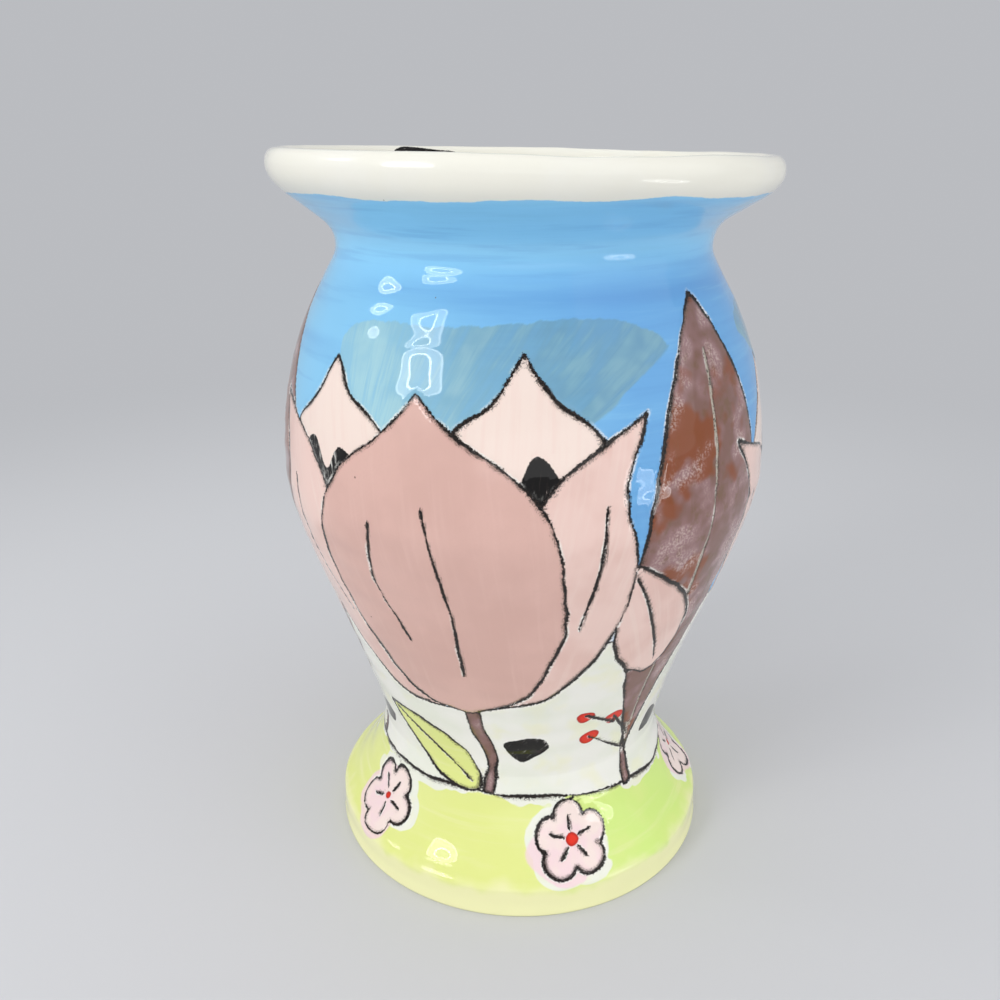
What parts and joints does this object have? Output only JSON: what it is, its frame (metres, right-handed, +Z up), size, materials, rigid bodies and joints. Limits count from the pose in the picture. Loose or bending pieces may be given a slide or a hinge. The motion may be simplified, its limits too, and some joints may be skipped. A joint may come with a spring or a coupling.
{
  "type": "pottery vase",
  "caption": "Footed pottery vase with a full belly, a narrow neck and a flared mouth with a thick rolled lip, luted from thrown sections.",
  "frame": {"origin": "centre of the foot ring, on the surface that the vase stands on", "axes": "+Z up along the axis of the vase, -Y towards the painted front"},
  "size_m": [0.1888, 0.1888, 0.2815],
  "materials": {
    "foot_glaze": "glossy clear glaze over lime green brushwork, with a bare foot ring",
    "body_glaze": "glossy clear glaze over pink, cream and sky blue brushwork with dark incised outlines",
    "collar_glaze": "glossy clear glaze over sky blue brushwork",
    "lip_glaze": "glossy cream glaze",
    "slip": "fired clay slip under the glaze"
  },
  "bodies": {
    "root": {"foot": "foot_glaze", "waist_slip_seam": "slip", "body": "body_glaze", "neck_slip_seam": "slip", "collar": "collar_glaze", "lip_slip_seam": "slip", "rolled_lip": "lip_glaze"}
  },
  "joints": []
}
